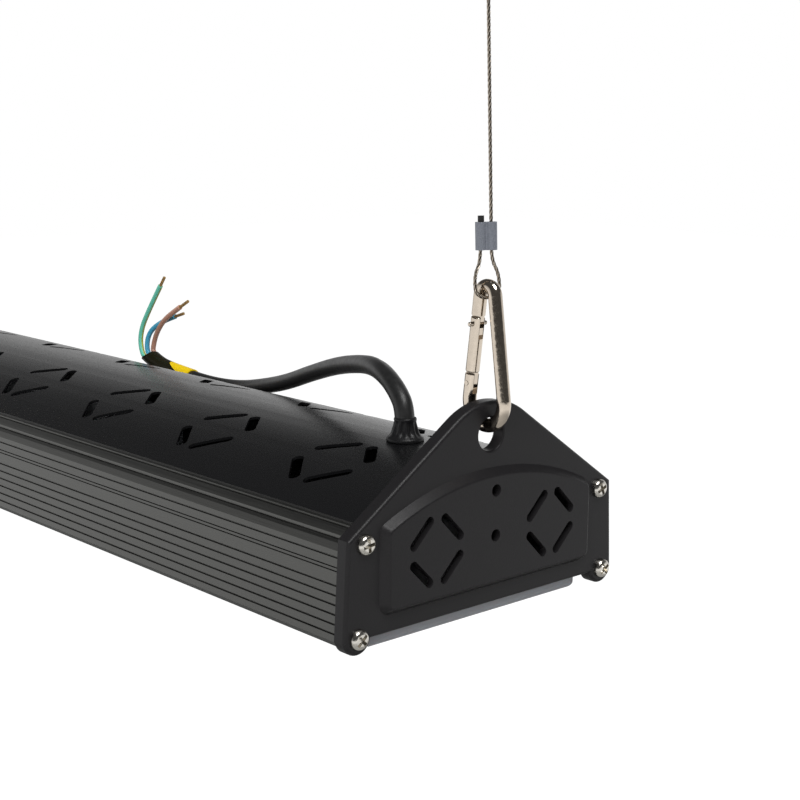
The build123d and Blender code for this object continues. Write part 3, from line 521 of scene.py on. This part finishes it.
class HIGHBAY_OT_side_rails(Dressing, bpy.types.Operator):
    """Finish the two ribbed side rails"""

    bl_idname = "high_bay.side_rails"
    bl_label = "Side Rails"

    def execute(self, context):
        colours, _ = self.look(context)
        # dark anodised extrusion: a metal sheen, with faint lines of the die along it
        shade, bare = tuple(colours.rail), {"Metallic": 1.0}
        coat = grained("anodised_extrusion", shade, 0.36, 0.0006, 0.00002, 0.07, (60, 1, 1), bare)
        paint(["left_side_rail", "right_side_rail"], coat)
        return {"FINISHED"}


class HIGHBAY_OT_roof(Dressing, bpy.types.Operator):
    """Finish the vented roof"""

    bl_idname = "high_bay.roof"
    bl_label = "Roof"

    def execute(self, context):
        colours, _ = self.look(context)
        # painted sheet steel: satin, so its crown picks up the light behind it
        shade, weak = tuple(colours.roof), {"Specular IOR Level": 0.24}
        coat = grained("satin_paint_on_sheet", shade, 0.28, 0.0009, 0.00002, 0.06, settings=weak)
        paint(["roof_cover"], coat)
        return {"FINISHED"}


class HIGHBAY_OT_lens(Dressing, bpy.types.Operator):
    """Finish the lens and its gasket"""

    bl_idname = "high_bay.lens"
    bl_label = "Lens"

    def execute(self, context):
        colours, _ = self.look(context)
        # frosted polycarbonate: a soft grey glow with a fine etched grain
        frosted = {"IOR": 1.58, "Transmission Weight": 0.1, "Subsurface Weight": 0.1}
        frosted["Subsurface Scale"] = 0.004
        shade = tuple(colours.lens)
        frost = grained("frosted_polycarbonate", shade, 0.48, 0.0008, 0.00003, 0.05, settings=frosted)
        paint(["lens_cover"], frost)
        # moulded silicone: dull and a little darker in its pores
        paint(["lens_gasket"], grained("moulded_silicone", linear("#3a3a3c"), 0.7, 0.001, 0.00003))
        return {"FINISHED"}


class HIGHBAY_OT_inside(Dressing, bpy.types.Operator):
    """Finish what sits inside the housing"""

    bl_idname = "high_bay.inside"
    bl_label = "Inside"

    def execute(self, context):
        # mill aluminium: bright, with rolling lines along it
        bare = {"Metallic": 1.0}
        mill = grained("mill_aluminium", linear("#c3c4c6"), 0.36, 0.0008, 0.00002, 0.06, (40, 1, 1), bare)
        paint(["led_tray"], mill)
        # white solder mask on glass fibre: glossy and nearly even, with a fine grain
        paint(["led_boards"], grained("white_solder_mask", linear("#eceeee"), 0.35, 0.0009, 0.00001, 0.02))
        # phosphor resin over the light chips: waxy yellow
        paint(["led_chips"], grained("phosphor_resin", linear("#e4c84a"), 0.4, 0.0006, 0.00002, 0.06))
        # zinc plated steel of the driver's case: a mottled grey
        zinc = grained("zinc_plated_steel", linear("#b4b8bc"), 0.34, 0.003, 0.00002, 0.14, settings=bare)
        paint(["driver_case"], zinc)
        # moulded polyamide: a soft sheen
        paint(["terminal_block"], grained("moulded_polyamide", linear("#d8d8d2"), 0.5, 0.0008, 0.00003, 0.04))
        paint(["relief_nut"], grained("black_polyamide", linear("#1c1c1d"), 0.45, 0.0008, 0.00003))
        return {"FINISHED"}


class HIGHBAY_OT_screws(Dressing, bpy.types.Operator):
    """Finish the pan head screws"""

    bl_idname = "high_bay.screws"
    bl_label = "Screws"

    def execute(self, context):
        # bright zinc on cold-headed steel: shiny, with a fine mottle of about 0.7 mm
        bare = {"Metallic": 1.0}
        zinc = grained("bright_zinc_screw", linear("#d2cec6"), 0.2, 0.0007, 0.00003, 0.08, settings=bare)
        paint(["front_end_screws", "rear_end_screws", "driver_screws"], zinc)
        return {"FINISHED"}


class HIGHBAY_OT_carabiners(Dressing, bpy.types.Operator):
    """Finish the carabiners, their gates and pins"""

    bl_idname = "high_bay.carabiners"
    bl_label = "Carabiners"

    def execute(self, context):
        colours, _ = self.look(context)
        # bright nickel over drawn steel wire: a warm mirror with shallow ripples of about 2 mm
        shade, bare = tuple(colours.nickel), {"Metallic": 1.0}
        nickel = grained("bright_nickel_on_wire", shade, 0.13, 0.0022, 0.00005, 0.05, settings=bare)
        for end in ("front", "rear"):
            paint([end + "_carabiner", end + "_gate", end + "_gate_rivet", end + "_latch_pin"], nickel)
        return {"FINISHED"}


class HIGHBAY_OT_ropes(Dressing, bpy.types.Operator):
    """Lay the two wire ropes and finish their ferrules and sleeves"""

    bl_idname = "high_bay.ropes"
    bl_label = "Wire Ropes"

    def execute(self, context):
        colours, sizes = self.look(context)
        # galvanised steel wires: warm grey metal, mottled at about 1 mm
        bare = {"Metallic": 1.0}
        steel = grained("galvanised_wire", tuple(colours.rope), 0.22, 0.0009, 0.00003, 0.3, settings=bare)
        # pressed aluminium: matte grey, with a grainy skin of about 0.5 mm
        dull = {"Metallic": 0.75}
        pressed = grained("pressed_aluminium", linear("#888c95"), 0.5, 0.0005, 0.00006, 0.2, settings=dull)
        # shrunk polyolefin: black, dull and smooth
        shrunk = grained("shrunk_polyolefin", linear("#171717"), 0.5, 0.0008, 0.00002)
        for end, side in (("front", 1), ("rear", -1)):
            paint([end + "_ferrules"], pressed)
            paint([end + "_rope_sleeves"], shrunk)
            route = rope_route(side)
            line = centre_line(route)
            # four strands fill the rope's round; the real ones are more and finer, and wouldn't show
            rope = lay_strands(
                end + "_wire_rope",
                line,
                steel,
                strand_radius=sizes.rope * STRAND_SHARE,
                lay_radius=sizes.rope * LAY_SHARE,
                lay_length=sizes.lay,
                step=sizes.lay / 12,
                outer_strands=4,
                sides=8,
            )
            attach(rope, "suspension")
            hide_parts(end + "_rope")
        return {"FINISHED"}


class HIGHBAY_OT_strain_relief(Dressing, bpy.types.Operator):
    """Make the fluted strain relief"""

    bl_idname = "high_bay.strain_relief"
    bl_label = "Strain Relief"

    def execute(self, context):
        _, sizes = self.look(context)
        # moulded nylon: black and satin, with a fine grain
        weak = {"Specular IOR Level": 0.3}
        nylon = grained("moulded_black_nylon", linear("#121213"), 0.4, 0.0008, 0.00003, 0.15, settings=weak)
        low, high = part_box("strain_relief")
        foot, head = low.z, high.z
        crown = head - RELIEF_RISE
        bore, seat = 0.0043, 0.0614 - DROP
        # radius and height of the outline, and how deep the flutes are there
        outline = [
            (0.0, foot, 0.0),
            (0.0049, foot, 0.0),
            (0.0054, foot + 0.0005, 0.0),
            (0.0054, crown + 0.0001, 0.0),
            (0.0079, crown + 0.0001, 0.0),
            (0.0080, crown + 0.0004, 0.0),
            (0.0080, crown + 0.0012, 0.0),
            (0.0077, crown + 0.0016, 0.0),
            (0.0069, crown + 0.0021, 0.02),
            (0.0062, crown + 0.0030, 0.08),
            (0.0058, crown + 0.0041, 0.14),
            (0.0054, crown + 0.0056, 0.16),
            (0.0050, crown + 0.0070, 0.12),
            (0.0047, crown + 0.0082, 0.06),
            (0.0048, crown + 0.0088, 0.0),
            (0.0048, crown + 0.0094, 0.0),
            (0.0046, head - 0.0001, 0.0),
            (0.0044, head, 0.0),
            (bore, head - 0.0002, 0.0),
            (bore, seat, 0.0),
            (0.0, seat, 0.0),
        ]
        middle = (low + high) / 2
        steps = sizes.flutes * FLUTE_STEPS
        points, faces, rings = [], [], []
        for radius, height, flute in outline:
            if radius == 0.0:
                points.append((middle.x, middle.y, height))
                rings.append([len(points) - 1] * steps)
                continue
            ring = []
            for i in range(steps):
                angle = 2 * math.pi * i / steps
                hollow = (0.5 - 0.5 * math.cos(sizes.flutes * angle)) ** FLUTE_SHARPNESS
                reach = radius * (1 - flute * hollow)
                x, y = reach * math.cos(angle), reach * math.sin(angle)
                points.append((middle.x + x, middle.y + y, height))
                ring.append(len(points) - 1)
            rings.append(ring)
        for inner, outer in zip(rings, rings[1:]):
            for i in range(steps):
                j = (i + 1) % steps
                corners = [inner[i], inner[j], outer[j], outer[i]]
                faces.append(list(dict.fromkeys(corners)))
        relief = mesh_from("fluted_strain_relief", points, faces, nylon)
        relief.data.shade_smooth()
        relief.data.set_sharp_from_angle(angle=RELIEF_EDGE)
        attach(relief, "luminaire")
        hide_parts("strain_relief")
        return {"FINISHED"}


class HIGHBAY_OT_cable(Dressing, bpy.types.Operator):
    """Run the mains cable with its wrap and its three cores"""

    bl_idname = "high_bay.cable"
    bl_label = "Mains Cable"

    def execute(self, context):
        colours, sizes = self.look(context)
        # rubber jacket: black and satin, with faint marks of about 2 mm from the extruder
        rubber = grained("extruded_rubber_jacket", tuple(colours.jacket), 0.4, 0.0022, 0.00006, 0.18)
        cable = spline_curve("black_mains_cable", CABLE, sizes.cable / 2, rubber)
        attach(cable, "luminaire")
        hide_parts("mains_cable")
        self.wrap(sizes)
        # plain annealed copper strands: warm, soft metal, dull where the air has browned it
        shade, dull = linear("#b5935f"), {"Metallic": 0.5}
        strands = grained("annealed_copper_strands", shade, 0.42, 0.0008, 0.00002, 0.2, settings=dull)
        for name in CORES:
            self.core(name, tuple(getattr(colours, name)), sizes, strands)
        return {"FINISHED"}

    def wrap(self, sizes):
        """The plain wrap round the cable's end, a tube along the cable's own line."""
        line = centre_line(CABLE)
        start = CABLE[11] + (CABLE[12] - CABLE[11]).normalized() * WRAP_BACK
        first = min(range(len(line)), key=lambda i: (line[i] - start).length)
        # slightly matte printed film: yellow, then a black that leans to olive, with a slanted edge
        slightly_matte = {"Roughness": 0.42, "Specular IOR Level": 0.3}
        film, tree, shader, _ = new_material("printed_polyester_film", slightly_matte)
        placed = add(tree, "ShaderNodeUVMap", {"uv_map": "along"})
        parts = add(tree, "ShaderNodeSeparateXYZ", (), {"Vector": placed.outputs[0]})
        turn = add(tree, "ShaderNodeMath", {"operation": "MULTIPLY", 1: 2 * math.pi}, {0: parts.outputs["X"]})
        wave = add(tree, "ShaderNodeMath", {"operation": "SINE"}, {0: turn.outputs[0]})
        slanted = {0: wave.outputs[0], 2: parts.outputs["Y"]}
        slant = add(tree, "ShaderNodeMath", {"operation": "MULTIPLY_ADD", 1: -WRAP_SLANT}, slanted)
        scaled = add(tree, "ShaderNodeMath", {"operation": "DIVIDE", 1: WRAP_SPAN}, {0: slant.outputs[0]})
        black, yellow = linear("#191706"), linear("#e8c502")
        change = WRAP_EDGE / WRAP_SPAN
        stops = [(0.0, yellow), (change, yellow), (change + 0.01, black), (1.0, black)]
        bands = add(tree, "ShaderNodeValToRGB", {"stops": stops}, {"Fac": scaled.outputs[0]})
        tree.links.new(bands.outputs[0], shader.inputs["Base Color"])
        inner, outer = sizes.cable / 2 + WRAP_GAP, sizes.cable / 2 + WRAP_OUTSIDE
        wrap = tube("end_wrap", line[first:], outer, inner, film, WRAP_START_CUT, WRAP_END_CUT)
        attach(wrap, "luminaire")
        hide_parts("cable_label")
        return wrap

    def core(self, name, shade, sizes, strands):
        """One insulated core and its bare strands."""
        route = CORES[name]
        line = centre_line(route)
        # soft PVC over the core: even colour with a satin skin
        skin = grained("soft_pvc_" + name, shade, 0.36, 0.0012, 0.00003, 0.05)
        if name == "earth":
            self.stripe(skin)
        core = tube(name + "_insulated_core", line, sizes.core / 2, 0.0, skin, sides=20)
        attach(core, "luminaire")
        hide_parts(name + "_core")
        tip = route[-1]
        ahead = (route[-1] - route[-2]).normalized()
        whole = BARE[name] + COPPER_HIDDEN
        path = [tip + ahead * (whole * i / COPPER_RUNS - COPPER_HIDDEN) for i in range(COPPER_RUNS + 1)]
        # a centre wire with six round it is three wires across
        wire = sizes.copper / 6
        bundle = lay_strands(
            name + "_bare_strands",
            path,
            strands,
            strand_radius=wire,
            lay_radius=wire * 2,
            lay_length=0.011,
            step=0.0007,
            outer_strands=6,
            sides=8,
        )
        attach(bundle, "luminaire")
        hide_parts("copper_ends")

    @staticmethod
    def stripe(skin):
        """The yellow stripe along the green core, about a quarter of the way round."""
        tree = skin.node_tree
        shader = tree.nodes["Principled BSDF"]
        green = shader.inputs["Base Color"].links[0].from_socket
        placed = add(tree, "ShaderNodeUVMap", {"uv_map": "along"})
        parts = add(tree, "ShaderNodeSeparateXYZ", (), {"Vector": placed.outputs[0]})
        off, on = (0, 0, 0, 1), (1, 1, 1, 1)
        stops = [(0.0, off), (0.2, off), (0.23, on), (0.47, on), (0.5, off), (1.0, off)]
        band = add(tree, "ShaderNodeValToRGB", {"stops": stops}, {"Fac": parts.outputs["X"]})
        # this node's colour sockets have numbers only: 6 and 7 go in, 2 comes out
        settings = {"data_type": "RGBA", 7: linear("#a8a83a")}
        both = add(tree, "ShaderNodeMix", settings, {0: band.outputs[0], 6: green})
        tree.links.new(both.outputs[2], shader.inputs["Base Color"])


class HIGHBAY_OT_stage(Dressing, bpy.types.Operator):
    """Set the floor, the lamps and the camera"""

    bl_idname = "high_bay.stage"
    bl_label = "Stage"

    def execute(self, context):
        # floor: pale and plain, nearly white to the camera, with room for a soft shadow
        half, level = 9.0, -1.0
        corners = [(-half, -half, level), (half, -half, level), (half, half, level), (-half, half, level)]
        floor = mesh_from("floor", corners, [(0, 1, 2, 3)])
        pale = bpy.data.materials.new("matte_white_floor")
        pale.use_nodes = True
        tree = pale.node_tree
        tree.nodes.clear()
        matte = add(tree, "ShaderNodeBsdfDiffuse", {"Color": linear("#aaaaa8")})
        white = add(tree, "ShaderNodeEmission", {"Color": (1, 1, 1, 1), "Strength": 1.6})
        # metal sees the floor's white from about two metres off, and its dark right below the light
        place = add(tree, "ShaderNodeTexCoord").outputs["Object"]
        off = add(tree, "ShaderNodeVectorMath", {"operation": "LENGTH"}, {0: place}).outputs["Value"]
        far = add(tree, "ShaderNodeMapRange", {"From Min": 1.6, "From Max": 2.6}, {"Value": off})
        # the rest of it is left to the matte floor, which keeps the shadow
        white_share = {"operation": "MULTIPLY", 1: 0.6}
        share = add(tree, "ShaderNodeMath", white_share, {0: self.seen(tree, far.outputs[0])})
        kinds = {0: share.outputs[0], 1: matte.outputs[0], 2: white.outputs[0]}
        both = add(tree, "ShaderNodeMixShader", (), kinds)
        add(tree, "ShaderNodeOutputMaterial", (), {"Surface": both.outputs[0]})
        floor.data.materials.append(pale)

        world = bpy.data.worlds.new("studio")
        context.scene.world = world
        world.use_nodes = True
        tree = world.node_tree
        tree.nodes.clear()
        soft = add(tree, "ShaderNodeBackground", {"Color": linear("#f4f6fa"), "Strength": 0.42})
        white = add(tree, "ShaderNodeBackground", {"Color": (1, 1, 1, 1), "Strength": 1.0})
        # metal sees the backdrop behind the light, and the dark of the room before and above it
        way = add(tree, "ShaderNodeTexCoord").outputs["Generated"]
        to_the_front = {"operation": "DOT_PRODUCT", 1: (0.87, -0.49, 0.0)}
        before = add(tree, "ShaderNodeVectorMath", to_the_front, {0: way}).outputs["Value"]
        forwards = {"From Min": 0.02, "From Max": 0.3, "To Min": 1.0, "To Max": 0.0}
        behind = add(tree, "ShaderNodeMapRange", forwards, {"Value": before})
        height = add(tree, "ShaderNodeSeparateXYZ", (), {"Vector": way}).outputs["Z"]
        upwards = {"From Min": 0.12, "From Max": 0.36, "To Min": 0.78, "To Max": 0.0}
        low = add(tree, "ShaderNodeMapRange", upwards, {"Value": height})
        parts = {0: behind.outputs[0], 1: low.outputs[0]}
        backdrop = add(tree, "ShaderNodeMath", {"operation": "MULTIPLY"}, parts)
        straight = add(tree, "ShaderNodeLightPath").outputs["Is Camera Ray"]
        parts = {0: backdrop.outputs[0], 1: straight}
        shown = add(tree, "ShaderNodeMath", {"operation": "MAXIMUM"}, parts)
        strength = add(tree, "ShaderNodeMapRange", {"To Min": 0.07}, {"Value": shown.outputs[0]})
        tree.links.new(strength.outputs[0], white.inputs["Strength"])
        kinds = {0: self.seen(tree), 1: soft.outputs[0], 2: white.outputs[0]}
        both = add(tree, "ShaderNodeMixShader", (), kinds)
        add(tree, "ShaderNodeOutputWorld", (), {"Surface": both.outputs[0]})

        aim = Vector((0.15, 0.0, -0.22))
        for name, place, size, power, mirrored in (
            ("back", (-1.0, 2.4, 0.75), 2.0, 6.5, True),
            ("top", (1.35, -0.2, 1.85), 1.2, 44.0, True),
            ("side", (1.2, -2.4, 0.5), 1.6, 56.0, False),
        ):
            lamp = bpy.data.lights.new(name, "AREA")
            lamp.size = size
            lamp.energy = power
            made = add_object(name, lamp)
            made.location = place
            made.rotation_euler = (aim - Vector(place)).to_track_quat("-Z", "Y").to_euler()
            made.visible_glossy = mirrored

        # the photograph's camera, as solved: 48 degrees round from the side, 11 degrees above
        turn, rise, roll = 0.8348120, 0.1900102, 0.0068427
        stand = (0.70229, -0.41649, -0.08954)
        back = Vector((math.sin(turn) * math.cos(rise), -math.cos(turn) * math.cos(rise), math.sin(rise)))
        right = Vector((math.cos(turn), math.sin(turn), 0))
        upward = back.cross(right)
        across_view = right * math.cos(roll) + upward * math.sin(roll)
        up_view = upward * math.cos(roll) - right * math.sin(roll)
        lens = bpy.data.cameras.new("camera")
        lens.lens, lens.sensor_width = 68.19, 36.0
        lens.clip_start = 0.01
        camera = add_object("camera", lens)
        facing = Matrix((across_view, up_view, back)).transposed()
        camera.matrix_world = Matrix.Translation(stand) @ facing.to_4x4()
        context.scene.camera = camera
        context.scene.view_settings.view_transform = "Standard"
        return {"FINISHED"}

    @staticmethod
    def seen(tree, mirrored=None):
        """1 for the rays that show the background: straight, through glass, or mirrored by this share."""
        rays = add(tree, "ShaderNodeLightPath").outputs
        gloss = rays["Is Glossy Ray"]
        if mirrored:
            parts = {0: gloss, 1: mirrored}
            gloss = add(tree, "ShaderNodeMath", {"operation": "MULTIPLY"}, parts).outputs[0]
        most = {"operation": "MAXIMUM"}
        one = add(tree, "ShaderNodeMath", most, {0: rays["Is Camera Ray"], 1: gloss})
        two = add(tree, "ShaderNodeMath", most, {0: one.outputs[0], 1: rays["Is Transmission Ray"]})
        return two.outputs[0]


STEPS = (
    HIGHBAY_OT_stage,
    HIGHBAY_OT_cable,
    HIGHBAY_OT_ropes,
    HIGHBAY_OT_strain_relief,
    HIGHBAY_OT_end_plates,
    HIGHBAY_OT_side_rails,
    HIGHBAY_OT_roof,
    HIGHBAY_OT_lens,
    HIGHBAY_OT_inside,
    HIGHBAY_OT_screws,
    HIGHBAY_OT_carabiners,
)


class HIGHBAY_PT_panel(bpy.types.Panel):
    """Colours, sizes and steps of the high bay light"""

    bl_idname = "HIGHBAY_PT_panel"
    bl_label = "High Bay Light"
    bl_space_type = "VIEW_3D"
    bl_region_type = "UI"
    bl_category = "High Bay"

    def draw(self, context):
        scene = context.scene
        for group in (scene.high_bay_colours, scene.high_bay_sizes):
            for name in group.__annotations__:
                self.layout.prop(group, name)
        for step in STEPS:
            self.layout.operator(step.bl_idname)


CLASSES = (HighBayColours, HighBaySizes, *STEPS, HIGHBAY_PT_panel)


def register():
    for one in CLASSES:
        bpy.utils.register_class(one)
    bpy.types.Scene.high_bay_colours = PointerProperty(type=HighBayColours)
    bpy.types.Scene.high_bay_sizes = PointerProperty(type=HighBaySizes)


def unregister():
    del bpy.types.Scene.high_bay_sizes
    del bpy.types.Scene.high_bay_colours
    for one in reversed(CLASSES):
        bpy.utils.unregister_class(one)


def main():
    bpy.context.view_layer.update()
    register()
    for step in STEPS:
        group, name = step.bl_idname.split(".")
        getattr(getattr(bpy.ops, group), name)()


if __name__ == "__main__":
    main()
